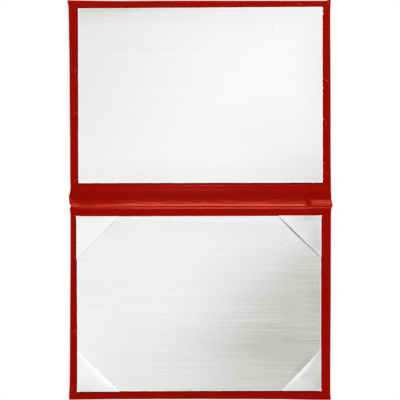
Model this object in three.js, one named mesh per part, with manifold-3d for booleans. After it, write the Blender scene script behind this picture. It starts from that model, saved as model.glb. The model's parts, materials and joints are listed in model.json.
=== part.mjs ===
// Diploma cover, lying open: two leatherette-covered boards joined by a soft spine, a fabric-covered
// panel glued inside each leaf, and four corner pockets that hold a document on the back panel.
// Frame: X runs along the spine, Y from the back leaf to the front leaf, Z up, in millimetres.
// The origin is under the middle of the spine, on the surface that the cover lies on.

import * as THREE from 'three';
import { mergeVertices } from 'three/addons/utils/BufferGeometryUtils.js';
import Module from 'manifold-3d';

const wasm = await Module();
wasm.setup();

// The document, the panel that carries it and the border of leatherette round the panel
const documentWidth = 297;
const documentHeight = 210;
const documentMarginX = 2.5;
const documentMarginY = 3.5;
const borderX = 9.6;
const borderY = 9.25;

// How far the hand-laid panels sit off the middle of their leaves
const frontPanelShiftX = 0.4;
const frontPanelShiftY = 1.6;
const backPanelShiftX = -1.8;

// Thicknesses of the sheets and boards, and of the glue between them
const leatherette = 0.6;
const boardThickness = 2;
const liningThickness = 0.6;
const inlayThickness = 0.5;
const cardThickness = 0.8;
const fabricThickness = 0.25;
const pocketThickness = 0.4;
const glue = 0.1;

// Rounding of the boards' and cards' edges, and of their corners seen from above
const boardRound = Math.min(0.5, boardThickness / 3);
const boardCorner = 1.2;
const cardRound = Math.min(0.2, cardThickness / 3);
const cardCorner = 0.6;

// How far the sheets are turned in or lapped over
const turnIn = 24;
const liningLap = 22;
const fabricTurnUnder = 15;

// Corner pockets: the legs of the triangle, the flaps glued under the panel, the slot for the sheet
const pocketLeg = 52;
const pocketFlap = 10;
const pocketSlot = 0.4;

// The folds: from a board's edge to its fold line, from a fold line to what lies on the spine,
// and the room left round a fold and between the closed leaves
const foldGap = 4.25;
const inlayInset = 1.1;
const liningInset = 0.8;
const foldClearance = 0.3;
const closedClearance = 0.8;

// Outlines
const panelWidth = documentWidth + 2 * documentMarginX;
const panelHeight = documentHeight + 2 * documentMarginY;
const leafWidth = panelWidth + 2 * borderX;
const leafHeight = panelHeight + 2 * borderY;

// Heights of the layers of a leaf, from the outside up
const wrap = leatherette + glue;
const boardTop = wrap + boardThickness;
const liningBottom = boardTop + glue;
const leafTop = liningBottom + Math.max(leatherette, liningThickness);
const frontPanelBottom = leafTop + glue;
const flapTop = leafTop + glue + pocketThickness;
const backPanelBottom = flapTop + glue;
const panelThickness = cardThickness + 2 * (fabricThickness + glue);
const slotTop = backPanelBottom + panelThickness + pocketSlot;
const pocketTop = slotTop + pocketThickness;

// The fold lines run in the middle of the leatherette, as far apart as the closed cover is thick
const closedThickness = frontPanelBottom + panelThickness + pocketTop + closedClearance;
const foldY = (closedThickness - leatherette) / 2;
const foldZ = leatherette / 2;
const boardEdge = foldY + foldGap;
const leafEdge = boardEdge + leafHeight;
const spineHalf = foldY - liningInset;
const spineLiningBottom = wrap + inlayThickness + glue;
const spineTop = spineLiningBottom + Math.max(leatherette, liningThickness);

// What the turned-in ends of the leatherette leave for the lining between them
const turnInEdge = leafWidth / 2 - turnIn;
const liningHalf = turnInEdge - foldClearance;

// Finish of the facets, and how far a cutting block runs past what it cuts
const edgeSegments = 2;
const cornerSegments = 3;
const foldSegments = 16;
const overcut = 1;

const board = {
  x: [-leafWidth / 2 + wrap, leafWidth / 2 - wrap],
  y: [boardEdge, leafEdge - wrap],
  z: [wrap, boardTop],
};

function grown(bounds, amount) {
  const widen = ([low, high]) => [low - amount, high + amount];
  return { x: widen(bounds.x), y: widen(bounds.y), z: widen(bounds.z) };
}

// Solids that are cut and joined, and the geometry that they give back

function solidOf(geometry) {
  const bare = geometry.clone();
  bare.deleteAttribute('normal');
  bare.deleteAttribute('uv');
  const merged = mergeVertices(bare);
  return new wasm.Manifold(new wasm.Mesh({
    numProp: 3,
    vertProperties: Float32Array.from(merged.attributes.position.array),
    triVerts: Uint32Array.from(merged.index.array),
  }));
}

function geometryOf(solid) {
  const { vertProperties, triVerts } = solid.getMesh();
  const shared = new THREE.BufferGeometry();
  shared.setAttribute('position', new THREE.BufferAttribute(vertProperties, 3));
  shared.setIndex(new THREE.BufferAttribute(triVerts, 1));
  const faceted = shared.toNonIndexed();
  faceted.computeVertexNormals();
  return faceted;
}

function cutFrom(geometry, ...tools) {
  const cut = (solid, tool) => solid.subtract(solidOf(tool));
  return geometryOf(tools.reduce(cut, solidOf(geometry)));
}

function joinedTo(geometry, ...others) {
  const join = (solid, other) => solid.add(solidOf(other));
  return geometryOf(others.reduce(join, solidOf(geometry)));
}

// Plain forms

function block({ x, y, z }) {
  const geometry = new THREE.BoxGeometry(x[1] - x[0], y[1] - y[0], z[1] - z[0]);
  return geometry.translate((x[0] + x[1]) / 2, (y[0] + y[1]) / 2, (z[0] + z[1]) / 2);
}

function roundedRectangle(x, y, radius) {
  const quarter = Math.PI / 2;
  const shape = new THREE.Shape();
  shape.absarc(x[1] - radius, y[0] + radius, radius, -quarter, 0);
  shape.absarc(x[1] - radius, y[1] - radius, radius, 0, quarter);
  shape.absarc(x[0] + radius, y[1] - radius, radius, quarter, 2 * quarter);
  shape.absarc(x[0] + radius, y[0] + radius, radius, 2 * quarter, 3 * quarter);
  return shape;
}

// A flat plate that fills the bounds, with its edges and its corners rounded
function plate({ x, y, z }, round, corner) {
  const inset = ([low, high]) => [low + round, high - round];
  const outline = roundedRectangle(inset(x), inset(y), corner - round);
  const geometry = new THREE.ExtrudeGeometry(outline, {
    depth: z[1] - z[0] - 2 * round,
    bevelThickness: round,
    bevelSize: round,
    bevelSegments: edgeSegments,
    curveSegments: cornerSegments,
  });
  return geometry.translate(0, 0, z[0] + round);
}

// An outline drawn in Y and Z, run along X
function alongX(outline, x) {
  const geometry = new THREE.ExtrudeGeometry(outline, {
    depth: x[1] - x[0],
    bevelEnabled: false,
    curveSegments: foldSegments / 2,
  });
  const axes = new THREE.Matrix4().makeBasis(
    new THREE.Vector3(0, 1, 0),
    new THREE.Vector3(0, 0, 1),
    new THREE.Vector3(1, 0, 0),
  );
  return geometry.applyMatrix4(axes).translate(x[0], 0, 0);
}

// An outline drawn in X and Z, run along Y on both sides of the spine's middle
function acrossSpine(outline, halfLength) {
  const geometry = new THREE.ExtrudeGeometry(outline, { depth: 2 * halfLength, bevelEnabled: false });
  return geometry.rotateX(Math.PI / 2).translate(0, halfLength, 0);
}

// The underside of a sheet that slopes down beside a board, from the bend at the board's edge to the
// foot near the fold. It stops short of the spine's layers, which stand there in the closed cover.
function slope(thickness) {
  const standing = foldY + spineTop - foldZ;
  return [
    new THREE.Vector2(boardEdge - foldClearance, liningBottom),
    new THREE.Vector2(standing + foldClearance + thickness, wrap),
  ];
}

// The upper side of a sheet of a given thickness whose underside follows a path towards -Y
function upperSide(path, thickness) {
  const normals = path.slice(1).map((point, i) => {
    const along = point.clone().sub(path[i]).normalize();
    return new THREE.Vector2(along.y, -along.x);
  });
  return path.map((point, i) => {
    const before = normals[Math.max(i - 1, 0)];
    const after = normals[Math.min(i, normals.length - 1)];
    const mitre = before.clone().add(after).divideScalar(1 + before.dot(after));
    return mitre.multiplyScalar(thickness).add(point);
  });
}

// What lies on the spine's side of a slope and above a floor, over the whole width of a leaf
function beyondSlope([bend, foot], floor) {
  const rise = bend.clone().sub(foot).normalize();
  const top = bend.clone().addScaledVector(rise, overcut);
  const bottom = foot.clone().addScaledVector(rise, (floor - foot.y) / rise.y);
  const outline = new THREE.Shape([
    top,
    bottom,
    new THREE.Vector2(-overcut, floor),
    new THREE.Vector2(-overcut, top.y),
  ]);
  return alongX(outline, [-leafWidth / 2 - overcut, leafWidth / 2 + overcut]);
}

// The board of a leaf, grown on every side and run on under the spine
function grownBoard(amount) {
  const bounds = grown(board, amount);
  bounds.y[0] = 0;
  return plate(bounds, boardRound + amount, boardCorner + amount);
}

// Leatherette of a leaf: wrapped round three edges of the board and turned in over its inside.
// At the fourth edge it runs on to the fold, and its turned-in ends slope down beside the board.
function leafLeatherette() {
  const half = leafWidth / 2 + overcut;
  const top = leafTop + overcut;
  const underside = slope(leatherette);
  const outside = cutFrom(grownBoard(wrap), beyondSlope(upperSide(underside, leatherette), leatherette));
  const hollow = cutFrom(grownBoard(glue), beyondSlope(underside, 0));
  const window = block({
    x: [-turnInEdge, turnInEdge],
    y: [-overcut, leafEdge - turnIn],
    z: [leatherette + glue / 2, top],
  });
  const pastFold = block({ x: [-half, half], y: [-overcut, foldY], z: [-overcut, top] });
  return cutFrom(outside, hollow, window, pastFold, foldSocket());
}

// The hollow edge of a leaf's leatherette, which leaves the spine's round edge free to turn
function foldSocket() {
  const radius = leatherette / 2 + foldClearance;
  const geometry = new THREE.CylinderGeometry(radius, radius, leafWidth + 2 * overcut, foldSegments);
  return geometry.rotateZ(Math.PI / 2).translate(0, foldY, foldZ);
}

function leafBoard() {
  return plate(board, boardRound, boardCorner);
}

function leafLining() {
  const lapEnd = new THREE.Vector2(boardEdge + liningLap, liningBottom);
  const path = [lapEnd, ...slope(liningThickness)];
  const outline = new THREE.Shape([...path, ...upperSide(path, liningThickness).reverse()]);
  return alongX(outline, [-liningHalf, liningHalf]);
}

// The card of a panel whose underside lies at a height, moved off the middle of its leaf
function cardBounds(panelBottom, shiftX, shiftY) {
  const cover = fabricThickness + glue;
  const middleY = boardEdge + leafHeight / 2 + shiftY;
  const panel = {
    x: [shiftX - panelWidth / 2, shiftX + panelWidth / 2],
    y: [middleY - panelHeight / 2, middleY + panelHeight / 2],
    z: [panelBottom, panelBottom + panelThickness],
  };
  return grown(panel, -cover);
}

// Fabric of a panel: drawn over the card and turned under along all four edges
function panelFabric(card) {
  const cover = fabricThickness + glue;
  const window = grown(card, cover - fabricTurnUnder);
  window.z = [card.z[0] - cover - overcut, card.z[0]];
  return cutFrom(
    plate(grown(card, cover), cardRound + cover, cardCorner + cover),
    plate(grown(card, glue), cardRound + glue, cardCorner + glue),
    block(window),
  );
}

// Corner pocket, drawn with the panel's corner at the origin and the panel on +X and +Y: a doubled
// triangle of fabric over the slot, carried down the panel's edges, with flaps glued under it
function cornerPocket() {
  const outside = -glue - pocketThickness;
  const triangle = new THREE.Shape([
    new THREE.Vector2(outside, outside),
    new THREE.Vector2(pocketLeg, outside),
    new THREE.Vector2(outside, pocketLeg),
  ]);
  const bottom = leafTop + glue;
  const wedge = new THREE.ExtrudeGeometry(triangle, { depth: pocketTop - bottom, bevelEnabled: false });
  const inside = [-glue, pocketLeg];
  const pastFlap = [pocketFlap, pocketLeg];
  return cutFrom(
    wedge.translate(0, 0, bottom),
    block({ x: inside, y: inside, z: [flapTop, slotTop] }),
    block({ x: pastFlap, y: pastFlap, z: [bottom - overcut, backPanelBottom] }),
  );
}

// Leatherette of the spine: round along both folds, turned in at its two ends over the inlay
function spineLeatherette() {
  const half = leafWidth / 2;
  const sheet = new THREE.Shape();
  sheet.absarc(foldY, foldZ, leatherette / 2, -Math.PI / 2, Math.PI / 2);
  sheet.absarc(-foldY, foldZ, leatherette / 2, Math.PI / 2, 1.5 * Math.PI);
  const turnedEnds = [-1, 1].map((side) => {
    const outer = half - glue;
    const inner = outer - leatherette;
    const corners = [
      [outer, foldZ],
      [outer, spineLiningBottom + leatherette],
      [turnInEdge, spineLiningBottom + leatherette],
      [turnInEdge, spineLiningBottom],
      [inner, spineLiningBottom],
      [inner, foldZ],
    ];
    const outline = new THREE.Shape(corners.map(([x, z]) => new THREE.Vector2(side * x, z)));
    return acrossSpine(outline, spineHalf);
  });
  return joinedTo(alongX(sheet, [-half, half]), ...turnedEnds);
}

function spineInlay() {
  const halfWidth = leafWidth / 2 - wrap - 2 * glue;
  const halfDepth = foldY - inlayInset;
  return block({
    x: [-halfWidth, halfWidth],
    y: [-halfDepth, halfDepth],
    z: [wrap, wrap + inlayThickness],
  });
}

function spineLining() {
  return block({
    x: [-liningHalf, liningHalf],
    y: [-spineHalf, spineHalf],
    z: [spineLiningBottom, spineLiningBottom + liningThickness],
  });
}

// Finishes

const redLeatherette = () => new THREE.MeshStandardMaterial({ color: 0x950e02, roughness: 0.45 });
const redLining = () => new THREE.MeshStandardMaterial({ color: 0x8e0d03, roughness: 0.5 });
const greyBoard = () => new THREE.MeshStandardMaterial({ color: 0x9a9082, roughness: 0.9 });
const whiteCard = () => new THREE.MeshStandardMaterial({ color: 0xd9d6cf, roughness: 0.85 });
const whiteFabric = () => new THREE.MeshStandardMaterial({ color: 0xeaeae8, roughness: 0.4 });

function piece(name, geometry, material) {
  const mesh = new THREE.Mesh(geometry, material);
  mesh.name = name;
  return mesh;
}

function leaf(name, panelBottom, shiftX, shiftY) {
  const card = cardBounds(panelBottom, shiftX, shiftY);
  const group = new THREE.Group();
  group.add(
    piece(`${name}_leatherette`, leafLeatherette(), redLeatherette()),
    piece(`${name}_board`, leafBoard(), greyBoard()),
    piece(`${name}_hinge_lining`, leafLining(), redLining()),
    piece(`${name}_panel_card`, plate(card, cardRound, cardCorner), whiteCard()),
    piece(`${name}_panel_fabric`, panelFabric(card), whiteFabric()),
  );
  return group;
}

// The back leaf is drawn like the front one and turned about, so its shift changes sign
function backLeaf() {
  const shiftX = -backPanelShiftX;
  const group = leaf('back', backPanelBottom, shiftX, 0);
  const middleY = boardEdge + leafHeight / 2;
  const corners = [
    ['outer_right', -1, 1],
    ['outer_left', 1, 1],
    ['spine_left', 1, -1],
    ['spine_right', -1, -1],
  ];
  for (const [name, sideX, sideY] of corners) {
    const pocket = piece(`pocket_${name}`, cornerPocket(), whiteFabric());
    pocket.position.set(shiftX + sideX * panelWidth / 2, middleY + sideY * panelHeight / 2, 0);
    pocket.rotation.z = Math.atan2(-sideY, -sideX) - Math.PI / 4;
    group.add(pocket);
  }
  group.rotation.z = Math.PI;
  return group;
}

function spine() {
  const group = new THREE.Group();
  group.add(
    piece('spine_leatherette', spineLeatherette(), redLeatherette()),
    piece('spine_inlay', spineInlay(), greyBoard()),
    piece('spine_lining', spineLining(), redLining()),
  );
  return group;
}

const cover = new THREE.Group();
cover.name = 'diploma_cover';
cover.add(
  backLeaf(),
  spine(),
  leaf('front', frontPanelBottom, frontPanelShiftX, frontPanelShiftY),
);

export default cover;
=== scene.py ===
"""The looks of a red leatherette diploma cover that lies open, with white fabric panels and corner pockets.

Shapes are worked out in millimetres in the frame's axes: X along the spine, +Y to the front leaf, +Z up.
"""
import json
import math

import bmesh
import bpy
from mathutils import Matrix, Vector, noise

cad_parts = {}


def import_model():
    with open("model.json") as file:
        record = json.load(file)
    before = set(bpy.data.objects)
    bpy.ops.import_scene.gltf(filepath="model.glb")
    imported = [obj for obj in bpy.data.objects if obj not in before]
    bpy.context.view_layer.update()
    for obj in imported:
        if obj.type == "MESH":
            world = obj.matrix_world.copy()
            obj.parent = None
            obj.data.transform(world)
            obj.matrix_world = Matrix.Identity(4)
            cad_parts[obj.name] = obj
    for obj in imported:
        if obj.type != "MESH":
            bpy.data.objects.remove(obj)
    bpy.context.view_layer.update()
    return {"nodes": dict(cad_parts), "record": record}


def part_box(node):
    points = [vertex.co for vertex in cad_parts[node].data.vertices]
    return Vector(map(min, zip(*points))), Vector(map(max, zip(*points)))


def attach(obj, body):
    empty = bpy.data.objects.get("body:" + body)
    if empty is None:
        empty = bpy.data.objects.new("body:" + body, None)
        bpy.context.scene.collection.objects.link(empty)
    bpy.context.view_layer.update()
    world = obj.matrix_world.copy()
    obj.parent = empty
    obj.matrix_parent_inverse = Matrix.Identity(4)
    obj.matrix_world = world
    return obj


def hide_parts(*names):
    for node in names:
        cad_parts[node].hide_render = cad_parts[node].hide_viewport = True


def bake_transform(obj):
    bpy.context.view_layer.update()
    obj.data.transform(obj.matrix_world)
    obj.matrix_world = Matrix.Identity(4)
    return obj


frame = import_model()

MM = 0.001


def box_mm(node):
    """A node's lowest and highest corner at rest, in millimetres."""
    low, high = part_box(node)
    return Vector(low) / MM, Vector(high) / MM


# Sizes that the frame gives
leaf_high = box_mm("front_leatherette")[1]
lining_high = box_mm("front_hinge_lining")[1]
joints = {joint["name"]: joint for joint in frame["record"]["behaviour"]["joints"]}

HALF_WIDTH = leaf_high.x
REACH = leaf_high.y
LEAF_TOP = lining_high.z
LINING_HALF = lining_high.x
LINING_REACH = lining_high.y
FOLD_LINE = joints["cover_fold"]["pos_m"][1] / MM

# Sheets: thickness, and how far they are turned in or under
SKIN = 0.6
LINING = 0.3
FABRIC = 0.25
TURN_IN = 27.0
TURN_UNDER = 15.0

# Leatherette of a leaf: its rim and corners, and the insets of the lines along its turn-ins
EDGE_ROUND = 0.8
EDGE_ROUND_SHARE = 0.45
LEAF_CORNER = 1.0
LEAF_FLAT = 2.4
KNEE = 40.0
TURN_IN_STEPS = [
    TURN_IN, 26.0, 25.0, 24.0, 23.0, 22.0, 18.5, 15.0, 12.0, 10.0, 8.5, 7.0, 5.5, 4.2, 3.0, 2.0,
]

# Seam where two turn-ins meet at a leaf's corner, and insets of lines beside it
MITRE_DEPTH = 0.1
MITRE_WIDTH = 0.5
MITRE_START = 1.5
MITRE_EASE = 2.0
MITRE_INSETS = [1.6, 0.6, 0.0]
MITRE_ROOM = 5.0

# Width that the folds bend over, and the rows and columns of the sheets
FOLD_ROWS_END = 13.0
FOLD_STEP = 0.4
MARGIN_ROWS_END = 20.5
MARGIN_STEP = 0.6
LEAF_STEP = 4.0
LINING_STEP = 1.6

# Groove along each fold on the outside
GROOVE_DEPTH = 0.35
GROOVE_WIDTH = 1.6
GROOVE_OFFSET = 1.2

# Cross-sections of the red valley as (y, height), from back to front
BACK_MARGIN = [(-23, LEAF_TOP), (-18.5, 3.3)]
FRONT_MARGIN = [(10.6, 3.54), (18, 3.3), (23, LEAF_TOP)]
LEFT_TIP = BACK_MARGIN + [
    (-12.2, 3.64), (-11, 3.65), (-10, 3.6), (-8.8, 3.45), (-7.5, 3.19), (-6.3, 2.92), (-5.1, 2.64),
    (-3.8, 2.37), (-2.6, 2.16), (-1.4, 1.96), (-0.2, 1.76), (1, 1.62), (2, 1.6), (6, 2.5), (9.2, 3.3),
] + FRONT_MARGIN
LEFT_PART = BACK_MARGIN + [
    (-12.2, 3.52), (-11.1, 3.53), (-10, 3.37), (-8.8, 3.16), (-7.6, 2.92), (-6.3, 2.63), (-5.1, 2.43),
    (-3.8, 2.27), (-2.6, 2.15), (-1.2, 2.06), (0.2, 2.05), (1.5, 2.1), (6, 2.75), (9.2, 3.38),
] + FRONT_MARGIN
MIDDLE_PART = BACK_MARGIN + [
    (-12.2, 3.79), (-11, 3.8), (-10.8, 3.76), (-9.4, 3.42), (-8.8, 3.31), (-8, 3.22), (-7.5, 3.17),
    (-6.3, 2.82), (-5.1, 2.53), (-3.8, 2.26), (-2.6, 2.04), (-1.4, 1.86), (-0.2, 1.71), (1, 1.62),
    (2, 1.6), (6, 2.6), (9.2, 3.34),
] + FRONT_MARGIN
LAP_PART = BACK_MARGIN + [
    (-12.2, 3.81), (-10.9, 3.8), (-10.4, 3.72), (-9.1, 3.36), (-8.7, 3.28), (-6, 3.1), (0, 2.66),
    (2, 2.52), (4, 2.5), (6, 2.66), (9.2, 3.32),
] + FRONT_MARGIN
RIGHT_TIP = BACK_MARGIN + [
    (-12.2, 3.9), (-11, 3.9), (-10.4, 3.84), (-9.9, 3.76), (-8.7, 3.49), (-7.5, 3.36), (-6.3, 3.14),
    (-5.1, 2.88), (-3.8, 2.59), (-2.6, 2.3), (-1.4, 2.04), (-0.2, 1.79), (0.6, 1.67), (1.2, 1.62), (2, 1.7),
    (3, 2.05), (4.5, 2.35), (6, 2.62), (9.2, 3.3),
] + FRONT_MARGIN

# The cross-section at each place along the valley
VALLEY = [
    (-155.5, LEFT_TIP), (-150, LEFT_PART), (-124, LEFT_PART), (-76, MIDDLE_PART), (130.6, MIDDLE_PART),
    (132.2, LAP_PART), (135.8, LAP_PART), (137.2, RIGHT_TIP),
]

# Wrinkles along the valley: depth by y, length along x, pitch across, and the kind of their noise
WRINKLE_DEPTH = [(-9, 0.0), (-7, 0.03), (-3, 0.06), (0, 0.06), (3, 0.02), (8, 0.01), (9.5, 0.0)]
WRINKLE_LENGTH = 20.0
WRINKLE_PITCH = 2.8
WRINKLE_NOISE = (0.6, 2.0, 4)
WRINKLE_SEED = 7.3

# Swell of the red margins
MARGIN_SWELL = 0.05
MARGIN_SWELL_LENGTH = 24.0
SWELL_SEED = 3.1

# Dashed crease along the front panel, with fades as (start, signed length)
CREASE_LINE = 16.8
CREASE_WIDTH = 0.9
CREASE_HEIGHT = 0.34
CREASE_SHARE = 0.75
CREASE_VARIATION = 0.6
CREASE_DASH = 11.0
CREASE_SEED = (2.7, 0.4)
CREASE_FADES = [(-140, 110), (140, -30)]

# Short crease in the left part of the valley
LEFT_CREASE_LINE = 8.6
LEFT_CREASE_WIDTH = 0.7
LEFT_CREASE_HEIGHT = 0.2
LEFT_CREASE_FADES = [(-80, -30)]

# The turn-ins at the valley's ends lap over the lining, which dips under them
LAP_START = 132.8
LAP_WIDTH = 3.0
LAP_DIP = 0.4
LAP_RISE = 0.1
LAP_RISE_INSET = 20.0
LAP_RISE_EASE = 4.0

# How far the edges stand outside the frame's outline: along the sides by y, along the leaves' ends by x
LEFT_EDGE = [
    (-241, 1.55), (-230, 0.9), (-198, 0.52), (-124, 0.12), (-75, -0.22), (-28, -0.28), (-15, 0.0),
    (-11, 0.7), (-7.6, -0.6), (-5, 0.8), (-2.6, 1.42), (0, 1.78), (4.8, 1.85), (8, 0.8), (15, -0.22),
    (27, 0.12), (74, 0.27), (123, 0.73), (173, 1.0), (197, 1.5), (238, 2.33), (246, 3.8),
]
RIGHT_EDGE = [
    (-246, 0.9), (-238, 0.18), (-222, 0.2), (-173, 0.38), (-124, 0.75), (-49, 0.97), (-12.5, 1.17),
    (-6.5, 2.9), (-4, 2.65), (0, 1.75), (4.8, 1.6), (9.7, 1.1), (27, 0.95), (49, 0.63), (123, 0.58),
    (222, 0.15), (237, 0.25), (246, 0.7),
]
FRONT_EDGE = [
    (-158, 1.22), (-148, 0.95), (-99, 0.36), (-50, 0.68), (0, 0.76), (98, 0.68), (156, 0.7), (159, 2.2),
]
BACK_EDGE = [(-161, 1.45), (-148, 1.26), (-99, 0.72), (0, 0.5), (49, 0.55), (98, 0.76), (148, 1.62)]
EDGE_FADE = 14.0

# Ragged stretch of the outline at the spine's ends
RUCK = 0.4
RUCK_PITCH = 3.2
RUCK_MIDDLE = -2.0
RUCK_WIDTH = 9.0
RUCK_SEED = (5.0, 0.7)

# White panels
PANEL_ROUND = 0.2
PANEL_CORNER = 0.7
PANEL_TOP_INSETS = [2.0, 1.1]
PANEL_UNDER_INSETS = [3.0, 6.0, TURN_UNDER]
PANEL_WAVE = 0.15
PANEL_WAVE_LENGTH = 9.0
SIDE_WAVE_SEED = 1.5
END_WAVE_SEED = 3.5
CARD_ROUND = 0.2

# How far the hand-laid panels' corners lie from the frame's: left-low, right-low, left-high, right-high
FRONT_CORNERS = [(0.3, -0.3), (-0.35, 0.5), (-0.15, -1.8), (-0.65, 0.2)]
BACK_CORNERS = [(1.4, 0.1), (-0.45, 1.15), (0.35, -1.35), (-0.2, -0.45)]

# Light along the white panels' edges: its place, and its strength on the left, right, low and high edge
EDGE_GLOW_START = 0.8
EDGE_GLOW_WIDTH = 1.1
FRONT_EDGE_LIGHT = [0.7, 0.9, 1.0, 0.3]
BACK_EDGE_LIGHT = [0.6, 0.55, 0.55, 0.3]

# Frayed places of the front panel's right edge as (y, how far a tuft stands out)
FRAYS = [(235.6, 1.0), (229.7, 1.1), (138.0, 0.9), (98.5, 0.8)]
FRAY_WIDTH = 1.2
TUFT_DEPTH = 0.5

# Corner pockets: the face's rise from the panel's edges, and its lifts
POCKET_PLY = 0.2
POCKET_LOW = 0.45
POCKET_RISE = 0.35
POCKET_RISE_WIDTH = 4.5
BOW_POWER = 0.4
EDGE_LIFT_WIDTH = 12.0
RIDGE_PLACE = 6.0
RIDGE_WIDTH = 5.0

# Walls and turned-in flaps of a pocket
POCKET_STAND = 0.3
POCKET_EAR = 0.4
EAR_REACH = 0.05
WALL_STRAIGHT_END = 1.0
FLAP_ROUND = 0.35
FLAP_ROUND_START = 0.45
FLAP_GAP = 0.1
POCKET_FLAP = 10.0
FLAP_SHARE = 0.9

# Ply folded under a pocket's face
FOLD_RADIUS = 0.28
FOLD_TURNS = 6
UNDER_GAP = 0.12
UNDER_STEPS = 10
UNDER_SPAN = 0.9

# Lines of a pocket's mesh: across it, closest at the fold, and along it
REACH_STEPS = 22
REACH_SPAN = 0.97
REACH_EASE = 1.3
SHARE_STEPS = 24
PLAIN_ROW = 5

# Least reach that a pocket's shade is worked out for, and the painted highlight of a bright band along its
# fold
CORNER_REACH = 0.01
BAND_LEAST = 0.3
BAND_FULL = 0.75
BAND_EASE = 0.45
FOLD_LIGHT = 0.3
FOLD_LIGHT_WIDTH = 1.5


def slope_at(points, i):
    """The slope of the smooth line at one of its points, flat at peaks and ends."""
    if i in (0, len(points) - 1):
        return 0.0
    (x0, y0), (x1, y1), (x2, y2) = points[i - 1:i + 2]
    before = (y1 - y0) / (x1 - x0)
    after = (y2 - y1) / (x2 - x1)
    if before * after <= 0:
        return 0.0
    return 2 * before * after / (before + after)


def along(points, place):
    """The value at a place on a smooth line through (place, value) points."""
    if place <= points[0][0]:
        return points[0][1]
    if place >= points[-1][0]:
        return points[-1][1]
    i = next(i for i in range(len(points) - 1) if place <= points[i + 1][0])
    (x0, y0), (x1, y1) = points[i:i + 2]
    span = x1 - x0
    t = (place - x0) / span
    from_start = (2 * t ** 3 - 3 * t ** 2 + 1) * y0 + (t ** 3 - 2 * t ** 2 + t) * span * slope_at(points, i)
    from_end = (3 * t ** 2 - 2 * t ** 3) * y1 + (t ** 3 - t ** 2) * span * slope_at(points, i + 1)
    return from_start + from_end


def smooth(t):
    """Eases from 0 to 1."""
    t = min(max(t, 0.0), 1.0)
    return t * t * (3 - 2 * t)


def hump(place, middle, width):
    """A bell of height 1."""
    return math.exp(-((place - middle) / width) ** 2)


def steps(start, end, size):
    """Evenly spaced places from start to end, about size apart."""
    count = max(1, round(abs(end - start) / size))
    return [start + (end - start) * i / count for i in range(count + 1)]


def quarter_turn(count):
    """Angles from 0 to a right angle, in equal steps."""
    return [math.pi / 2 * i / count for i in range(count + 1)]


# The red surface seen inside the open cover
def faded(height, x, fades):
    """A height that each fade lowers to 0 before its start."""
    for start, length in fades:
        height *= smooth((x - start) / length)
    return height


def long_crease(x, y):
    """Height of the dashed crease along the front panel."""
    dashes = CREASE_SHARE + CREASE_VARIATION * noise.noise(Vector((x / CREASE_DASH, *CREASE_SEED)))
    return faded(CREASE_HEIGHT * dashes * hump(y, CREASE_LINE, CREASE_WIDTH), x, CREASE_FADES)


def wrinkle(x, y):
    """Height of the fine wrinkles along the valley."""
    place = Vector((x / WRINKLE_LENGTH, y / WRINKLE_PITCH, WRINKLE_SEED))
    return along(WRINKLE_DEPTH, y) * noise.fractal(place, *WRINKLE_NOISE)


def inner_height(x, y):
    """Height of the red lining and turn-ins: the valley with its wrinkles and creases, and the margins."""
    valley = along([(place, along(section, y)) for place, section in VALLEY], x)
    swell_place = Vector((x / MARGIN_SWELL_LENGTH, y / MARGIN_SWELL_LENGTH, SWELL_SEED))
    swell = MARGIN_SWELL * noise.noise(swell_place)
    left_crease = LEFT_CREASE_HEIGHT * hump(y, LEFT_CREASE_LINE, LEFT_CREASE_WIDTH)
    creases = long_crease(x, y) + faded(left_crease, x, LEFT_CREASE_FADES)
    return valley + wrinkle(x, y) + swell + creases


def underside(y):
    """Height of the outside: flat, with a shallow groove along each fold."""
    return GROOVE_DEPTH * hump(abs(y), FOLD_LINE + GROOVE_OFFSET, GROOVE_WIDTH)


def ruck(x, y):
    """How far the ragged outline at the spine's ends stands out."""
    seed, height = RUCK_SEED
    raggedness = noise.noise(Vector((y / RUCK_PITCH, math.copysign(seed, x), height)))
    return RUCK * raggedness * hump(y, RUCK_MIDDLE, RUCK_WIDTH)


def outlined(x, y, z):
    """The point moved with the outline's small flares, which fade away from the edges."""
    side = LEFT_EDGE if x < 0 else RIGHT_EDGE
    end = BACK_EDGE if y < 0 else FRONT_EDGE
    beside = smooth(1 - (HALF_WIDTH - abs(x)) / EDGE_FADE)
    beyond = smooth(1 - (REACH - abs(y)) / EDGE_FADE)
    out_x = (along(side, y) + ruck(x, y)) * beside
    out_y = along(end, x) * beyond
    return x + math.copysign(1, x) * out_x, y + math.copysign(1, y) * out_y, z


# Sheets wrapped round a rectangle
class Wrap:
    """Lines round a rectangle at any inset, with round corners and mitres, and stations along them."""

    def __init__(self, half_x, half_y, corner):
        self.half_x = half_x
        self.half_y = half_y
        self.corner = corner

    def pulled(self, value, half, inset):
        """A place along a side, drawn in towards the middle near the corners as the inset grows."""
        knee = half - KNEE
        if abs(value) <= knee:
            return value
        end = half - max(inset, self.corner)
        return math.copysign(knee + (abs(value) - knee) * (end - knee) / KNEE, value)

    def point(self, station, inset):
        """The place of a station at an inset."""
        kind, sign, value = station
        if kind == "side":
            return sign * (self.half_x - inset), self.pulled(value, self.half_y, inset)
        if kind == "end":
            return self.pulled(value, self.half_x, inset), sign * (self.half_y - inset)
        sign_x, sign_y = sign
        straight = max(inset, self.corner)
        radius = max(self.corner - inset, 0.0)
        x = sign_x * (self.half_x - straight + radius * math.cos(value))
        y = sign_y * (self.half_y - straight + radius * math.sin(value))
        return x, y

    def flat(self, rows, columns, inset):
        """Places of the flat grid inside a line, row by row."""
        across = [self.point(("end", 1, x), inset)[0] for x in columns]
        return [(x, self.point(("side", 1, y), inset)[1]) for y in rows for x in across]


def corner_stations(sign_x, sign_y, rising):
    """Stations round one corner, between its two sides."""
    angles = quarter_turn(count=5)[1:-1]
    if not rising:
        angles.reverse()
    return [("corner", (sign_x, sign_y), angle) for angle in angles]


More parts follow.
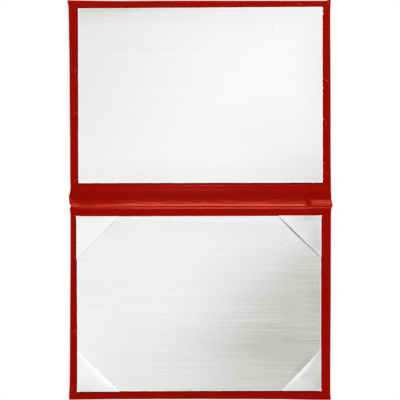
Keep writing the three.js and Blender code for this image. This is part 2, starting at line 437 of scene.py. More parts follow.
def open_stations(rows, columns):
    """Stations up the left side, along the far end and down the right side."""
    stations = [("side", -1, y) for y in rows]
    stations += corner_stations(-1, 1, True)
    stations += [("end", 1, x) for x in columns]
    stations += corner_stations(1, 1, False)
    stations += [("side", 1, y) for y in reversed(rows)]
    return stations


def ring_faces(count, length, closed, start):
    """Quads between rings of points that follow each other in the list."""
    faces = []
    last = length if closed else length - 1
    for k in range(count - 1):
        inner = start + k * length
        outer = inner + length
        for i in range(last):
            j = (i + 1) % length
            faces.append((inner + i, inner + j, outer + j, outer + i))
    return faces


def grid_faces(rows, columns, start=0):
    """Quads of a grid of points listed row by row."""
    faces = []
    for r in range(rows - 1):
        for c in range(columns - 1):
            i = start + r * columns + c
            faces.append((i, i + 1, i + columns + 1, i + columns))
    return faces


# Pieces from points
def linked(name, data):
    """A new object in the scene."""
    made = bpy.data.objects.new(name, data)
    bpy.context.scene.collection.objects.link(made)
    return made


def applied(piece):
    """The piece's modifiers become part of its mesh."""
    shown = piece.evaluated_get(bpy.context.evaluated_depsgraph_get())
    made = bpy.data.meshes.new_from_object(shown)
    piece.modifiers.clear()
    piece.data = made


def keep_rest(piece):
    """Stores each point's place at rest, so that the materials stay put when the cover folds."""
    rest = piece.data.attributes.new("rest", "FLOAT_VECTOR", "POINT")
    for i, vertex in enumerate(piece.data.vertices):
        rest.data[i].vector = vertex.co


def keep_shaded(piece, shaded):
    """Stores how much of the fabric's shade each point takes: less where it is lit, 1 elsewhere."""
    share = piece.data.attributes.new("shaded", "FLOAT", "POINT")
    for i, vertex in enumerate(piece.data.vertices):
        share.data[i].value = shaded(vertex.co / MM)


def piece_from(name, points, faces, thickness, material, outward):
    """A closed thin solid: a surface through points, thickened inwards. Its first face looks outward."""
    mesh = bpy.data.meshes.new(name)
    mesh.from_pydata([Vector(p) * MM for p in points], [], faces)
    surface = bmesh.new()
    surface.from_mesh(mesh)
    bmesh.ops.remove_doubles(surface, verts=surface.verts, dist=0.002 * MM)
    bmesh.ops.dissolve_degenerate(surface, edges=surface.edges, dist=0.001 * MM)
    bmesh.ops.recalc_face_normals(surface, faces=surface.faces)
    surface.faces.ensure_lookup_table()
    if surface.faces[0].normal.dot(Vector(outward)) < 0:
        bmesh.ops.reverse_faces(surface, faces=surface.faces)
    surface.to_mesh(mesh)
    surface.free()
    piece = linked(name, mesh)
    solid = piece.modifiers.new("thickness", "SOLIDIFY")
    solid.thickness = thickness * MM
    solid.offset = -1
    solid.use_even_offset = True
    applied(piece)
    piece.data.materials.append(material)
    piece.data.shade_smooth()
    piece.data.set_sharp_from_angle(angle=math.radians(48))
    keep_rest(piece)
    return piece


# Leatherette of one leaf and its half of the spine
def leaf_section(top):
    """(inset, height) from the turn-in's inner edge, round the leaf's edge, to the underside."""
    radius = min(EDGE_ROUND, EDGE_ROUND_SHARE * top)
    turns = quarter_turn(count=4)
    section = [(inset, top) for inset in TURN_IN_STEPS]
    section += [(radius * (1 - math.sin(a)), top - radius * (1 - math.cos(a))) for a in turns]
    section += [(radius * (1 - math.cos(a)), radius * (1 - math.sin(a))) for a in turns]
    section.append((LEAF_FLAT, 0.0))
    return section


def valley_rows():
    """Places from the spine's middle to beside the panel, closest over the fold."""
    return steps(0.0, FOLD_ROWS_END, FOLD_STEP) + steps(FOLD_ROWS_END, MARGIN_ROWS_END, MARGIN_STEP)[1:]


def leaf_rows():
    """Places along a leaf's side from the spine's middle: fine over the fold and beside the mitre."""
    near_mitre = [REACH - inset for inset in MITRE_INSETS]
    return valley_rows() + steps(MARGIN_ROWS_END, REACH - MITRE_ROOM, LEAF_STEP)[1:] + near_mitre


def leaf_columns():
    """Places along a leaf's outer end."""
    near_mitre = [HALF_WIDTH - inset for inset in MITRE_INSETS]
    inner_end = HALF_WIDTH - MITRE_ROOM
    return [-x for x in reversed(near_mitre)] + steps(-inner_end, inner_end, LEAF_STEP) + near_mitre


def mitre_groove(x, y):
    """Depth of the seam where two turn-ins meet at a corner."""
    inset_x = HALF_WIDTH - abs(x)
    inset_y = REACH - abs(y)
    start = smooth((min(inset_x, inset_y) - MITRE_START) / MITRE_EASE)
    return MITRE_DEPTH * hump(abs(inset_x - inset_y), 0.0, MITRE_WIDTH) * start


def turn_in_height(x, y, inset):
    """Height of a turn-in: seamed at the leaf's corners, and raised where it laps over the lining."""
    lapped = LAP_RISE * smooth((inset - LAP_RISE_INSET) / LAP_RISE_EASE)
    return inner_height(x, y) - mitre_groove(x, y) + lapped


def leaf_leather(name, side, material):
    """The leatherette of a leaf, on the side (+1 front, -1 back) of the spine's middle."""
    wrap = Wrap(HALF_WIDTH, REACH, LEAF_CORNER)
    rows = leaf_rows()
    columns = leaf_columns()
    stations = open_stations(rows, columns)
    points = [outlined(x, side * v, underside(v)) for x, v in wrap.flat(rows, columns, LEAF_FLAT)]
    faces = grid_faces(len(rows), len(columns))

    sections = []
    for station in stations:
        x, v = wrap.point(station, EDGE_ROUND)
        sections.append(leaf_section(inner_height(x, side * v)))
    ring_count = len(sections[0])
    faces += ring_faces(ring_count, len(stations), False, len(points))
    for k in range(ring_count):
        on_top = k <= len(TURN_IN_STEPS)
        for station, section in zip(stations, sections):
            inset, z = section[k]
            x, v = wrap.point(station, inset)
            if on_top:
                z = turn_in_height(x, side * v, inset)
            else:
                z += underside(v) * (1 - z / LEAF_TOP)
            points.append(outlined(x, side * v, z))
    return piece_from(name, points, faces, SKIN, material, (0, 0, -1))


# Lining strip of one half of the valley
def valley_lining(name, side, material):
    """The red strip in the valley, from the spine's middle to under the panel."""
    rows = valley_rows() + steps(MARGIN_ROWS_END, LINING_REACH, LEAF_STEP)[1:]
    columns = steps(-LINING_HALF, LINING_HALF, LINING_STEP)
    points = []
    for v in rows:
        for x in columns:
            dip = LAP_DIP * smooth((abs(x) - LAP_START) / LAP_WIDTH)
            points.append((x, side * v, inner_height(x, side * v) - dip))
    return piece_from(name, points, grid_faces(len(rows), len(columns)), LINING, material, (0, 0, 1))


# White panels
def edge_glow(inset):
    """1 at a fabric edge, falling to 0 inside it."""
    return 1 - smooth((inset - EDGE_GLOW_START) / EDGE_GLOW_WIDTH)


class Panel:
    """A card or the fabric drawn round it, laid by hand a little off its place in the frame."""

    def __init__(self, node, corners, frays=(), edge_light=()):
        self.low, self.high = box_mm(node)
        self.middle = (self.low + self.high) / 2
        self.half = (self.high - self.low) / 2
        self.corners = corners
        self.frays = frays
        self.edge_light = edge_light

    def flat_size(self):
        """Width and length that the fabric was cut to, in metres."""
        low, high = self.low, self.high
        around = 2 * (TURN_UNDER + high.z - low.z)
        return (high.x - low.x + around) * MM, (high.y - low.y + around) * MM

    def shift(self, x, y):
        """How far a point of the panel lies from its place in the frame, from the shifts of its corners."""
        u = (x / self.half.x + 1) / 2
        v = (y / self.half.y + 1) / 2
        left_low, right_low, left_high, right_high = (Vector(c) for c in self.corners)
        low = left_low.lerp(right_low, u)
        high = left_high.lerp(right_high, u)
        return low.lerp(high, v)

    def section(self):
        """(inset, depth below the top) from the top, round the panel's edge, to the turned-under rim."""
        turns = quarter_turn(count=4)
        depth = self.high.z - self.low.z
        section = [(inset, 0.0) for inset in PANEL_TOP_INSETS]
        bend = PANEL_ROUND
        section += [(bend * (1 - math.sin(a)), bend * (1 - math.cos(a))) for a in turns]
        section += [(bend * (1 - math.cos(a)), depth - bend * (1 - math.sin(a))) for a in turns]
        section += [(inset, depth) for inset in PANEL_UNDER_INSETS]
        return section

    def wave(self, along_edge, across, half, seed):
        """How far an edge waves out, at a place along it and across the panel."""
        place = Vector((along_edge / PANEL_WAVE_LENGTH, self.middle.y, math.copysign(seed, across)))
        return PANEL_WAVE * noise.noise(place) * smooth(1 - (half - abs(across)) / EDGE_FADE)

    def laid(self, x, y, depth):
        """A point of the fabric, from its place on the straight panel and its depth below the top."""
        shift = self.shift(x, y)
        wave_x = self.wave(y, x, self.half.x, SIDE_WAVE_SEED)
        wave_y = self.wave(x, y, self.half.y, END_WAVE_SEED)
        if x > self.half.x - TUFT_DEPTH:
            wave_x += sum(out * hump(self.middle.y + y, place, FRAY_WIDTH) for place, out in self.frays)
        middle = self.middle
        return middle.x + x + shift.x + wave_x, middle.y + y + shift.y + wave_y, self.high.z - depth

    def shaded(self, place):
        """How much of the fabric's shade a point takes: little along the lit edges."""
        local = place - self.middle
        shift = self.shift(local.x, local.y)
        x = local.x - shift.x
        y = local.y - shift.y
        left, right, low_end, high_end = self.edge_light
        share = 1 - left * edge_glow(self.half.x + x)
        share *= 1 - right * edge_glow(self.half.x - x)
        share *= 1 - low_end * edge_glow(self.half.y + y)
        share *= 1 - high_end * edge_glow(self.half.y - y)
        return share


def panel_skin(name, panel, material):
    """The white fabric of a panel."""
    wrap = Wrap(panel.half.x, panel.half.y, PANEL_CORNER)
    rows = steps(-panel.half.y, panel.half.y, size=2.0)
    columns = steps(-panel.half.x, panel.half.x, size=4.0)
    stations = open_stations(rows, columns)
    stations += corner_stations(1, -1, True)
    stations += [("end", -1, x) for x in reversed(columns)]
    stations += corner_stations(-1, -1, False)
    section = panel.section()
    points = [panel.laid(x, y, 0.0) for x, y in wrap.flat(rows, columns, section[0][0])]
    faces = grid_faces(len(rows), len(columns))
    faces += ring_faces(len(section), len(stations), True, len(points))
    for inset, depth in section:
        points += [panel.laid(*wrap.point(station, inset), depth) for station in stations]
    made = piece_from(name, points, faces, FABRIC, material, (0, 0, 1))
    keep_shaded(made, panel.shaded)
    return made


def panel_card(name, panel, material):
    """The stiff card inside a panel, laid as its fabric is."""
    points = []
    for z in (panel.low.z, panel.high.z):
        for sign_x, sign_y in ((-1, -1), (1, -1), (1, 1), (-1, 1)):
            x = sign_x * panel.half.x
            y = sign_y * panel.half.y
            shift = panel.shift(x, y)
            points.append((panel.middle.x + x + shift.x, panel.middle.y + y + shift.y, z))
    faces = [(4, 5, 6, 7), (3, 2, 1, 0), (0, 1, 5, 4), (1, 2, 6, 5), (2, 3, 7, 6), (3, 0, 4, 7)]
    mesh = bpy.data.meshes.new(name)
    mesh.from_pydata([Vector(p) * MM for p in points], [], faces)
    piece = linked(name, mesh)
    rounding = piece.modifiers.new("rounding", "BEVEL")
    rounding.width = CARD_ROUND * MM
    rounding.segments = 3
    applied(piece)
    piece.data.materials.append(material)
    return piece


# Corner pockets
class Pocket:
    """A triangle of fabric folded double along its long side, drawn round two edges of a panel.

    The legs run from the panel's corner to the ends of the fold. The lifts are at the fold and behind it.
    """

    def __init__(
        self, panel, sign_x, sign_y, leg_x, leg_y, band, rim_light,
        band_light=0.0, edge_lift=0.0, lift_skew=0.0, ridge_lift=0.0,
    ):
        self.sign_x = sign_x
        self.sign_y = sign_y
        self.leg_x = leg_x
        self.leg_y = leg_y
        self.edge_lift = edge_lift
        self.lift_skew = lift_skew
        self.ridge_lift = ridge_lift
        self.band = band
        self.band_light = band_light
        shift = panel.shift(sign_x * panel.half.x, sign_y * panel.half.y)
        self.corner = Vector((
            (panel.low.x + panel.high.x) / 2 + sign_x * panel.half.x + shift.x,
            (panel.low.y + panel.high.y) / 2 + sign_y * panel.half.y + shift.y,
        ))
        self.panel_top = panel.high.z
        left, right, low_end, high_end = panel.edge_light
        self.side_light = rim_light * (right if sign_x > 0 else left)
        self.end_light = rim_light * (high_end if sign_y > 0 else low_end)

    def place(self, share, reach):
        """A point of the face: share runs along the fold, and reach from the corner (0) to the fold (1)."""
        x = self.corner.x - self.sign_x * self.leg_x * reach * (1 - share)
        y = self.corner.y - self.sign_y * self.leg_y * reach * share
        return x, y

    def height(self, share, reach):
        """Height of the face above the panel: low at the panel's edges, lifted along the fold."""
        from_edges = reach * min(share * self.leg_y, (1 - share) * self.leg_x)
        behind_fold = (1 - reach) * math.hypot(self.leg_x, self.leg_y) / 2
        bow = math.sin(math.pi * share) ** BOW_POWER if 0 < share < 1 else 0.0
        edge_lift = self.edge_lift * (1 - self.lift_skew * share)
        lifted = edge_lift * hump(behind_fold, 0.0, EDGE_LIFT_WIDTH)
        lifted += self.ridge_lift * hump(behind_fold, RIDGE_PLACE, RIDGE_WIDTH)
        return POCKET_LOW + (POCKET_RISE + lifted * bow) * smooth(from_edges / POCKET_RISE_WIDTH)

    def shaded(self, place):
        """How much of the fabric's shade a point takes: less in the band along the fold and at edges."""
        from_x = self.sign_x * (self.corner.x - place.x)
        from_y = self.sign_y * (self.corner.y - place.y)
        reach = max(from_x / self.leg_x + from_y / self.leg_y, CORNER_REACH)
        behind_fold = (1 - reach) * self.leg_x * self.leg_y / math.hypot(self.leg_x, self.leg_y)
        share = min(max(from_y / self.leg_y / reach, 0.0), 1.0)
        width = BAND_LEAST + self.band * math.sin(math.pi * share)
        in_band = 1 - smooth((behind_fold / width - BAND_FULL) / BAND_EASE)
        in_band *= smooth(FOLD_LIGHT + behind_fold / FOLD_LIGHT_WIDTH)
        beside_edges = (1 - self.side_light * edge_glow(from_x)) * (1 - self.end_light * edge_glow(from_y))
        return (1 - self.band_light * in_band) * beside_edges

    def wall(self, share, reach):
        """Points from the panel's edge down its side and in under it, for share 0 or 1."""
        out = Vector((0, self.sign_y)) if share == 0 else Vector((self.sign_x, 0))
        if reach == 0:
            out = Vector((self.sign_x, self.sign_y))
        leg = self.leg_x if share == 0 else self.leg_y
        flap = min(POCKET_FLAP, FLAP_SHARE * reach * leg)
        top = self.panel_top + self.height(share, reach)
        turns = quarter_turn(count=3)[1:]
        stand = POCKET_STAND + POCKET_EAR * hump(reach, 0.0, EAR_REACH)
        flap_top = LEAF_TOP + FLAP_ROUND_START
        path = [(stand * math.sin(a), top - POCKET_STAND * (1 - math.cos(a))) for a in turns]
        path.append((stand, LEAF_TOP + WALL_STRAIGHT_END))
        bend = FLAP_ROUND
        path += [(stand - bend * (1 - math.cos(a)), flap_top - bend * math.sin(a)) for a in turns]
        path.append((-flap, LEAF_TOP + FLAP_GAP))
        x, y = self.place(share, reach)
        return [(x + out.x * away, y + out.y * away, z) for away, z in path]


def pocket_face(pocket, shares):
    """Rows of points from the fold to the corner, each over a flap, a wall, the face, a wall and a flap."""
    reaches = [1 - REACH_SPAN * (i / REACH_STEPS) ** REACH_EASE for i in range(REACH_STEPS + 1)]
    rows = []
    for reach in reaches + [0.0]:
        row = list(reversed(pocket.wall(0, reach)))
        for share in shares:
            row.append((*pocket.place(share, reach), pocket.panel_top + pocket.height(share, reach)))
        rows.append(row + pocket.wall(1, reach))
    return rows


def pocket_under_ply(pocket, shares):
    """Rows of points round the fold and back under the face."""
    outward = Vector((-pocket.sign_x, -pocket.sign_y)).normalized()
    lines = [(1.0, math.pi * i / FOLD_TURNS) for i in range(FOLD_TURNS + 1)]
    lines += [(1 - UNDER_SPAN * i / UNDER_STEPS, math.pi) for i in range(1, UNDER_STEPS + 1)]
    rows = []
    for reach, turned in lines:
        row = []
        for share in shares:
            height = pocket.height(share, reach)
            radius = min(FOLD_RADIUS, (height - UNDER_GAP) / 2)
            x, y = pocket.place(share, reach)
            away = radius * math.sin(turned)
            z = pocket.panel_top + height - radius * (1 - math.cos(turned))
            row.append((x + outward.x * away, y + outward.y * away, z))
        rows.append(row)
    return rows


def pocket_piece(name, pocket, material):
    """The mesh of one corner pocket: its face with two walls and flaps, and the ply folded under it."""
    shares = steps(0.0, 1.0, 1 / SHARE_STEPS)
    face_rows = pocket_face(pocket, shares)
    under_rows = pocket_under_ply(pocket, shares)
    columns = len(face_rows[0])
    points = sum(face_rows, [])
    faces = grid_faces(len(face_rows), columns)
    faces += grid_faces(len(under_rows), len(shares), len(points))
    points += sum(under_rows, [])
    plain_face = PLAIN_ROW * (columns - 1) + columns // 2
    faces.insert(0, faces.pop(plain_face))
    made = piece_from(name, points, faces, POCKET_PLY, material, (0, 0, 1))
    keep_shaded(made, pocket.shaded)
    return made


# Colours: each pair is mixed by noise
COVER_REDS = [(0.292, 0.0012, 0.0, 1), (0.302, 0.0015, 0.0, 1)]
COVER_GLOSS = (0.8, 0.14, 0.06, 1)
LINING_REDS = [(0.312, 0.001, 0.0, 1), (0.322, 0.0013, 0.0, 1)]
LINING_GLOSS = (0.8, 0.165, 0.1, 1)
# Pale red of creased or rubbed marks, also mixed in for the painted sheen on the lining
RED_WORN_AND_SHEEN = (0.55, 0.06, 0.03, 1)
WHITE = (0.92, 0.92, 0.915, 1)
SHADOW_GREY = (0.35, 0.355, 0.325, 1)
BOARD_GREYS = [(0.3, 0.28, 0.24, 1), (0.42, 0.39, 0.34, 1)]
CARD_WHITES = [(0.66, 0.65, 0.61, 1), (0.75, 0.74, 0.7, 1)]

# Noise stays mostly between these values
NOISE_SPAN = (0.3, 0.7)

# Share of fine grain in the red relief, growth of white streaks with the shade, and reach of brushed tones
GRAIN_SHARE = 0.5
SHADE_STREAKS = 4
BRUSH = 14.0

# Pale creased or rubbed marks on the red, and one painted sheen: x, y, length, width, angle in degrees,
# strength
BORDER_MARKS = [
    (-154, 159, 11, 2, 62, 0.7), (-154, 107, 9, 2, 39, 0.6), (-155, 23, 8, 2, 57, 0.5),
    (156, 147, 10, 2, -36, 0.7), (155, 95, 7, 2, -49, 0.6), (154, 46, 6, 2, 0, 0.6),
    (156, 32, 6, 2, -5, 0.6), (122, 242, 13, 2, -25, 0.5), (-155, -162, 8, 2, 51, 0.8),
    (144, 243, 3, 2, 0, 0.6), (158, 243, 3, 2, 80, 0.6),
]
# The lining's last mark is a painted sheen: a broad lighter band along the front margin
LINING_MARKS_AND_SHEEN = [(58, 15, 9, 2, -55, 0.2), (66, 15, 9, 2, -55, 0.2), (-15, 13.5, 250, 13.5, 0, 0.11)]

# Painted shade for the white fabric's uneven sheen: x, y, radius along x, radius along y, depth
FRONT_SHEEN_SHADE = [
    (-190, 160, 240, 260, 0.2), (-165, 248, 140, 45, 0.26), (20, 256, 260, 60, 0.16),
    (-70, 235, 230, 110, 0.06), (175, 140, 70, 260, 0.16), (155, 15, 150, 75, 0.26),
    (-40, 25, 220, 35, 0.1), (90, 80, 130, 60, 0.05),
]
BACK_SHEEN_SHADE = [
    (150, -165, 215, 190, 0.47), (126, -135, 18, 80, -0.06), (70, -185, 150, 75, 0.18),
    (-60, -215, 140, 95, 0.13), (145, -100, 90, 70, 0.2), (60, -245, 150, 45, 0.2),
    (10, -36, 170, 16, 0.05), (70, -128, 50, 45, 0.07), (72, -180, 30, 25, 0.06),
    (-115, -30, 50, 28, 0.08), (138, -52, 22, 22, 0.08), (-110, -120, 130, 60, 0.03),
]
POCKET_SHEEN_SHADE = [
    (155, -25, 70, 60, 0.3), (148, -62, 36, 36, 0.36), (115, -30, 60, 50, 0.1), (152, -222, 60, 85, 0.5),
    (110, -232, 22, 22, 0.12), (145, -192, 18, 18, 0.12), (147, -226, 9, 14, 0.14), (130, -215, 12, 8, 0.1),
    (-150, -238, 50, 25, 0.2), (-150, -12, 60, 28, 0.12), (-128, -22, 36, 6, 0.2), (130, -21.5, 36, 6, 0.2),
]

# Nubs in the weave of the panels: x, y, depth
NUB_RADIUS = 1.0
FRONT_NUBS = [
    (89, 210, 1.5), (28, 138, 0.65), (130, 177, 0.3), (115, 110, 0.3), (57, 117, 0.6), (-43, 172, 0.3),
    (-77, 205, 0.15), (-135, 208, 0.5), (-97, 158, 0.2), (-71, 135, 0.35), (-83, 106, 0.5), (23, 35, 0.4),
    (103, 139, 0.4),
]
BACK_NUBS = [
    (100, -54, 1.0), (-11, -80, 0.25), (42, -140, 0.6), (103, -128, 0.35), (-47, -165, 0.45),
    (-58, -166, 0.2), (6, -177, 0.5), (-70, -110, 0.25), (-106, -132, 0.4), (48, -215, 0.3),
    (125, -114, 0.5), (75, -174, 0.45),
]

# Panel marks, painted rim shade and painted fold shadows: x, y, radius along x and y, depth, and degrees if
# turned
SMUDGES = [(-119, 195, 3, 3, -0.1), (-9, 176, 5, 7, -0.04)]
HAIR = (23, -182, 2.8, 0.6, 0.3, 60)
# Painted shade: darker bands just inside the panels' rims
FRONT_RIM_SHADE = (-90, 238, 170, 9, 0.16)
BACK_RIM_SHADES = [(148, -145, 4, 110, 0.12), (20, -235, 150, 5, 0.13), (0, -20, 180, 4, 0.06)]
# Painted shadow on the back panel beside the right pockets' lifted folds
FOLD_SHADOWS = [(114.2, -38.2, 26, 1.8, 0.6, -45.3), (123, -208, 30, 7, 0.14, 47)]

# Faint round press marks: x, y, and radius and depth of a light spot and of a darker one inside it
RINGS = [(90, -31), (57, -188)]
RING_SPOTS = [(5.4, -0.2), (3.2, 0.32)]


def nubs(places):
    """Tiny dark spots at the places."""
    return [(x, y, NUB_RADIUS, NUB_RADIUS, depth) for x, y, depth in places]


def rings(places):
    """A faint ring at each place."""
    return [(x, y, radius, radius, depth) for x, y in places for radius, depth in RING_SPOTS]


# Materials
def new_material(name):
    """A material with its node tree and shader."""
    made = bpy.data.materials.new(name)
    made.use_nodes = True
    return made, made.node_tree, made.node_tree.nodes["Principled BSDF"]


def fill(tree, node, inputs):
    """Sets a node's inputs to values, or links them to other nodes' outputs."""
    for key, value in inputs.items():
        if isinstance(value, bpy.types.NodeSocket):
            tree.links.new(value, node.inputs[key])
        else:
            node.inputs[key].default_value = value


def add(tree, kind, inputs=None, **settings):
    """A shader node of a kind, with its settings and inputs."""
    node = tree.nodes.new("ShaderNode" + kind)
    for key, value in settings.items():
        setattr(node, key, value)
    fill(tree, node, inputs or {})
    return node


def rest_place(tree):
    """The surface point's place at rest, in metres."""
    return add(tree, "Attribute", attribute_name="rest").outputs["Vector"]


def ranged(tree, value, low, high, from_low=0.0, from_high=1.0, interpolation="LINEAR"):
    """A value carried from one range to another."""
    inputs = {"Value": value, "From Min": from_low, "From Max": from_high, "To Min": low, "To Max": high}
    return add(tree, "MapRange", inputs, interpolation_type=interpolation).outputs["Result"]


def from_noise(tree, value, low, high):
    """Noise carried to a range."""
    return ranged(tree, value, low, high, *NOISE_SPAN)


def swung(tree, value, depth):
    """Noise carried to a range round 0."""
    return from_noise(tree, value, -depth, depth)


def mixed(tree, factor, first, second):
    """A colour between two colours."""
    node = add(tree, "Mix", {"Factor": factor, 6: first, 7: second}, data_type="RGBA")
    return node.outputs[2]


def math_node(tree, operation, first, second):
    """Two numbers joined by an operation."""
    return add(tree, "Math", {0: first, 1: second}, operation=operation).outputs[0]


def vector_node(tree, operation, first, second):
    """Two vectors joined by an operation."""
    return add(tree, "VectorMath", {0: first, 1: second}, operation=operation).outputs[0]


def noise_value(tree, place, scale, detail):
    """Soft noise between 0 and 1."""
    return add(tree, "TexNoise", {"Vector": place, "Scale": scale, "Detail": detail}).outputs["Fac"]


def ribbed_noise(tree, place, size, detail):
    """Soft noise with its own fineness along and across the ribs."""
    return noise_value(tree, vector_node(tree, "MULTIPLY", place, (*size, 0.0)), 1.0, detail)


def soft_spot(tree, place, x, y, radius_x, radius_y, depth, angle=0.0):
    """A value that falls smoothly from depth at a place to 0 at its radius, turned by degrees."""
    away = vector_node(tree, "SUBTRACT", place, (x * MM, y * MM, 0))
    if angle:
        inputs = {"Vector": away, "Angle": math.radians(-angle)}
        away = add(tree, "VectorRotate", inputs, rotation_type="Z_AXIS").outputs[0]
    scaled = vector_node(tree, "MULTIPLY", away, (1 / (radius_x * MM), 1 / (radius_y * MM), 0))
    length = add(tree, "VectorMath", {0: scaled}, operation="LENGTH").outputs["Value"]
    return ranged(tree, length, depth, 0.0, interpolation="SMOOTHSTEP")


def bumped(tree, height, strength, relief):
    """The surface's direction on a relief in millimetres."""
    inputs = {"Height": height, "Strength": strength, "Distance": relief * MM}
    return add(tree, "Bump", inputs).outputs["Normal"]


def leatherette(name, shades, gloss, grain_depth, creases):
    """Fine-grained red leatherette with a soft gloss, short pale creases and a painted sheen on the lining.
    """
    made, tree, shader = new_material(name)
    place = rest_place(tree)
    tone = noise_value(tree, place, scale=90.0, detail=4.0)
    pebble = add(tree, "TexVoronoi", {"Vector": place, "Scale": 1500.0}, feature="SMOOTH_F1")
    grain = noise_value(tree, place, scale=2600.0, detail=2.0)
    fine_height = math_node(tree, "MULTIPLY", grain, GRAIN_SHARE)
    height = math_node(tree, "ADD", pebble.outputs["Distance"], fine_height)
    worn_and_sheen = 0.0
    for x, y, length, width, angle, strength in creases:
        mark = soft_spot(tree, place, x, y, length / 2, width / 2, strength, angle)
        worn_and_sheen = math_node(tree, "ADD", worn_and_sheen, mark)
    colour = mixed(tree, from_noise(tree, tone, 0.0, 1.0), *shades)
    fill(tree, shader, {
        "Base Color": mixed(tree, worn_and_sheen, colour, RED_WORN_AND_SHEEN),
        "Roughness": from_noise(tree, grain, low=0.24, high=0.26),
        "Normal": bumped(tree, height, grain_depth, relief=0.1),
        "IOR": 1.55,
        "Specular IOR Level": 1.0,
        "Specular Tint": gloss,
    })
    return made


def brushed(tree, place, reach):
    """The place, shifted along the ribs by about the reach at most, so that tones end in fine streaks."""
    sweep = ribbed_noise(tree, place, size=(9.0, 420.0), detail=3.0)
    shift = swung(tree, sweep, reach * MM)
    moved = add(tree, "CombineXYZ", {"X": shift}).outputs[0]
    return vector_node(tree, "ADD", place, moved)


def fabric_shade(tree, place, shade, spots, marks, brush):
    """Painted shade of the uneven sheen: soft spots drawn out along the ribs, and marks at their own
    places.
    """
    swept = brushed(tree, place, brush) if brush else place
    for spot in spots:
        shade = math_node(tree, "ADD", shade, soft_spot(tree, swept, *spot))
    for mark in marks:
        shade = math_node(tree, "ADD", shade, soft_spot(tree, place, *mark))
    return shade


def fabric_streaks(tree, place, streak_size, mottle_depth):
    """Streaks along the ribs and a mottle, stronger in some patches than in others."""
    broad = ribbed_noise(tree, place, size=(5.0, 110.0), detail=2.0)
    fine = ribbed_noise(tree, place, streak_size, detail=3.0)
    mottle = ribbed_noise(tree, place, size=(480.0, 600.0), detail=2.0)
    patch = ribbed_noise(tree, place, size=(8.0, 28.0), detail=2.0)
    streaks = math_node(tree, "ADD", swung(tree, broad, depth=0.3), swung(tree, fine, depth=0.7))
    streaks = math_node(tree, "ADD", streaks, swung(tree, mottle, mottle_depth))
    patches = ranged(tree, patch, low=0.4, high=1.6, from_low=0.35, from_high=0.65)
    return math_node(tree, "MULTIPLY", streaks, patches)


def fabric(name, shade, spots, marks, brush, streak_size, streak_depth, mottle_depth):
    """White ribbed taffeta: painted shade of an uneven sheen, marks, and streaks stronger in the shade."""
    made, tree, shader = new_material(name)
    place = rest_place(tree)
    shade = fabric_shade(tree, place, shade, spots, marks, brush)
    streaks = fabric_streaks(tree, place, streak_size, mottle_depth)
    strength = math_node(tree, "MULTIPLY", shade, SHADE_STREAKS * streak_depth)
    strength = math_node(tree, "ADD", strength, streak_depth)
    darker = math_node(tree, "ADD", shade, math_node(tree, "MULTIPLY", streaks, strength))
    thread = ribbed_noise(tree, place, size=(240.0, 1500.0), detail=3.0)
    darker = math_node(tree, "ADD", darker, swung(tree, thread, depth=0.03))
    share = add(tree, "Attribute", attribute_name="shaded").outputs["Fac"]
    colour = mixed(tree, math_node(tree, "MULTIPLY", darker, share), WHITE, SHADOW_GREY)
    wave = {"Vector": place, "Scale": 449.0, "Distortion": 0.4}
    ribs = add(tree, "TexWave", wave, bands_direction="Y")
    height = math_node(tree, "ADD", ribs.outputs["Fac"], thread)
    fill(tree, shader, {
        "Base Color": colour,
        "Roughness": 0.55,
        "Normal": bumped(tree, height, strength=0.25, relief=0.05),
        "Specular IOR Level": 0.2,
    })
    return made


def board(name, shades):
    """Raw pulp board with fibres and flecks."""
    made, tree, shader = new_material(name)
    place = add(tree, "TexCoord").outputs["Object"]
    fibres = noise_value(tree, place, scale=800.0, detail=5.0)
    fill(tree, shader, {
        "Base Color": mixed(tree, from_noise(tree, fibres, 0.0, 1.0), *shades),
        "Roughness": 0.9,
        "Normal": bumped(tree, fibres, strength=0.3, relief=0.1),
    })
    return made


red = leatherette("red_leatherette", COVER_REDS, COVER_GLOSS, grain_depth=0.16, creases=BORDER_MARKS)
red_lining = leatherette("red_lining", LINING_REDS, LINING_GLOSS, grain_depth=0.1, creases=LINING_MARKS_AND_SHEEN)
front_marks = nubs(FRONT_NUBS) + SMUDGES + [FRONT_RIM_SHADE]
front_white = fabric(
    "front_fabric", spots=FRONT_SHEEN_SHADE, marks=front_marks, brush=BRUSH, shade=0.045,
    streak_size=(15.0, 600.0), streak_depth=0.017, mottle_depth=1.3,
)
back_marks = nubs(BACK_NUBS) + rings(RINGS) + [HAIR] + FOLD_SHADOWS + BACK_RIM_SHADES
back_white = fabric(
    "back_fabric", spots=BACK_SHEEN_SHADE, marks=back_marks, brush=BRUSH, shade=0.15,
    streak_size=(10.0, 650.0), streak_depth=0.031, mottle_depth=0.65,
)
pocket_white = fabric(
    "pocket_fabric", spots=POCKET_SHEEN_SHADE, marks=[], brush=0.0, shade=0.08,
    streak_size=(330.0, 330.0), streak_depth=0.02, mottle_depth=0.5,
)
greyboard = board("greyboard", BOARD_GREYS)
white_card = board("white_card", CARD_WHITES)

SIDES = {"front": 1, "back": -1}


# Pieces
for leaf, side in SIDES.items():
    leather = leaf_leather(leaf + "_cover_leather", side, red)
    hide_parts(leaf + "_leatherette", "spine_leatherette")
    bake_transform(leather)

for leaf, side in SIDES.items():
    strip = valley_lining(leaf + "_valley_lining", side, red_lining)
    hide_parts(leaf + "_hinge_lining", "spine_lining")
    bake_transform(strip)

front_panel = Panel("front_panel_fabric", FRONT_CORNERS, FRAYS, FRONT_EDGE_LIGHT)
back_panel = Panel("back_panel_fabric", BACK_CORNERS, edge_light=BACK_EDGE_LIGHT)
for leaf, panel, white in (("front", front_panel, front_white), ("back", back_panel, back_white)):
    skin = panel_skin(leaf + "_panel_skin", panel, white)
    panel.flat_size()
    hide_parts(leaf + "_panel_fabric")
    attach(skin, leaf + "_cover")

for leaf, corners in (("front", FRONT_CORNERS), ("back", BACK_CORNERS)):
    card = panel_card(leaf + "_card", Panel(leaf + "_panel_card", corners), white_card)
    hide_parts(leaf + "_panel_card")
    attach(card, leaf + "_cover")

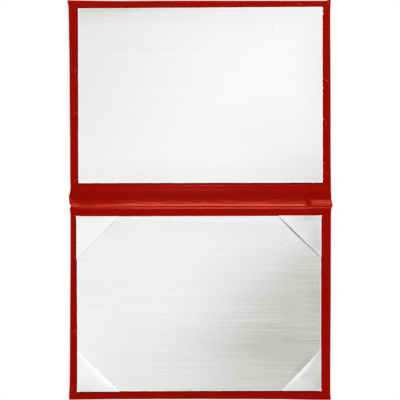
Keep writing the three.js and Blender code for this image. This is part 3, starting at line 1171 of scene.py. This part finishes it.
pockets = {
    "pocket_spine_left": Pocket(
        back_panel, -1, 1, leg_x=51.5, leg_y=52.7, band=3.0, rim_light=1.0, band_light=0.2, ridge_lift=0.1,
    ),
    "pocket_spine_right": Pocket(
        back_panel, 1, 1, leg_x=52.3, leg_y=51.2, band=1.5, rim_light=0.6, edge_lift=0.62, lift_skew=0.75,
    ),
    "pocket_outer_left": Pocket(
        back_panel, -1, -1, leg_x=51.2, leg_y=48.6, band=6.5, rim_light=0.6, band_light=0.45,
        ridge_lift=0.4,
    ),
    "pocket_outer_right": Pocket(
        back_panel, 1, -1, leg_x=48.3, leg_y=51.3, band=4.5, rim_light=0.3, band_light=0.5, edge_lift=0.1,
        ridge_lift=0.4,
    ),
}
for node, pocket in pockets.items():
    made = pocket_piece(node + "_cloth", pocket, pocket_white)
    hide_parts(node)
    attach(made, "back_cover")

for node in ("front_board", "back_board", "spine_inlay"):
    frame["nodes"][node].data.materials.clear()
    frame["nodes"][node].data.materials.append(greyboard)

# Floor: how far it lies below the cover, and how much it glows where it is seen
FLOOR_DROP = 0.2
FLOOR_GLOW = 0.75

# Camera
VIEW_WIDTH = 493.8
LENS = 100.0
SENSOR = 36.0
VIEW_MIDDLE = (-0.31, -0.15)


def floor():
    """A plain pale floor that keeps the object's shadow."""
    bpy.ops.mesh.primitive_plane_add(size=6, location=(0, 0, -FLOOR_DROP * MM))
    plane = bpy.context.object
    plane.name = "floor"
    made, tree, shader = new_material("pale_floor")
    fill(tree, shader, {"Base Color": (0.97, 0.97, 0.97, 1), "Roughness": 1.0, "Specular IOR Level": 0.0})
    path = add(tree, "LightPath")
    seen = math_node(tree, "MAXIMUM", path.outputs["Is Camera Ray"], path.outputs["Is Glossy Ray"])
    seen = math_node(tree, "MAXIMUM", seen, path.outputs["Is Transmission Ray"])
    glow = add(tree, "Emission", {"Color": (1, 1, 1, 1), "Strength": 1.0})
    part = math_node(tree, "MULTIPLY", seen, FLOOR_GLOW)
    mix = add(tree, "MixShader", {0: part, 1: shader.outputs[0], 2: glow.outputs[0]})
    fill(tree, tree.nodes["Material Output"], {"Surface": mix.outputs[0]})
    plane.data.materials.append(made)


def world():
    """Dim light from above, brighter towards the horizon."""
    made = bpy.data.worlds.new("studio")
    made.use_nodes = True
    tree = made.node_tree
    direction = add(tree, "TexCoord").outputs["Generated"]
    up = add(tree, "SeparateXYZ", {0: direction}).outputs["Z"]
    level = ranged(tree, math_node(tree, "ABSOLUTE", up, 0.0), low=1.0, high=0.1)
    fill(tree, tree.nodes["Background"], {"Color": (1, 1, 1, 1), "Strength": level})
    bpy.context.scene.world = made


def sun(name, strength, spread, tilt, turn):
    """A soft far lamp, tilted from straight above towards a direction turned from +Y, in degrees."""
    data = bpy.data.lights.new(name, "SUN")
    data.energy = strength
    data.angle = math.radians(spread)
    lamp = linked(name, data)
    tilt = math.radians(tilt)
    turn = math.radians(turn)
    towards = Vector((math.sin(turn) * math.sin(tilt), math.cos(turn) * math.sin(tilt), math.cos(tilt)))
    lamp.rotation_euler = towards.to_track_quat("Z", "Y").to_euler()


def camera():
    """Straight above the open cover."""
    data = bpy.data.cameras.new("camera")
    data.lens = LENS
    data.sensor_width = SENSOR
    made = linked("camera", data)
    distance = VIEW_WIDTH * LENS / SENSOR
    made.location = Vector((*VIEW_MIDDLE, distance + LEAF_TOP)) * MM
    bpy.context.scene.camera = made


floor()
world()
sun("key", strength=1.82, spread=20, tilt=50, turn=42)
sun("top", strength=1.1, spread=24, tilt=37, turn=0)
camera()
bpy.context.scene.view_settings.view_transform = "Standard"
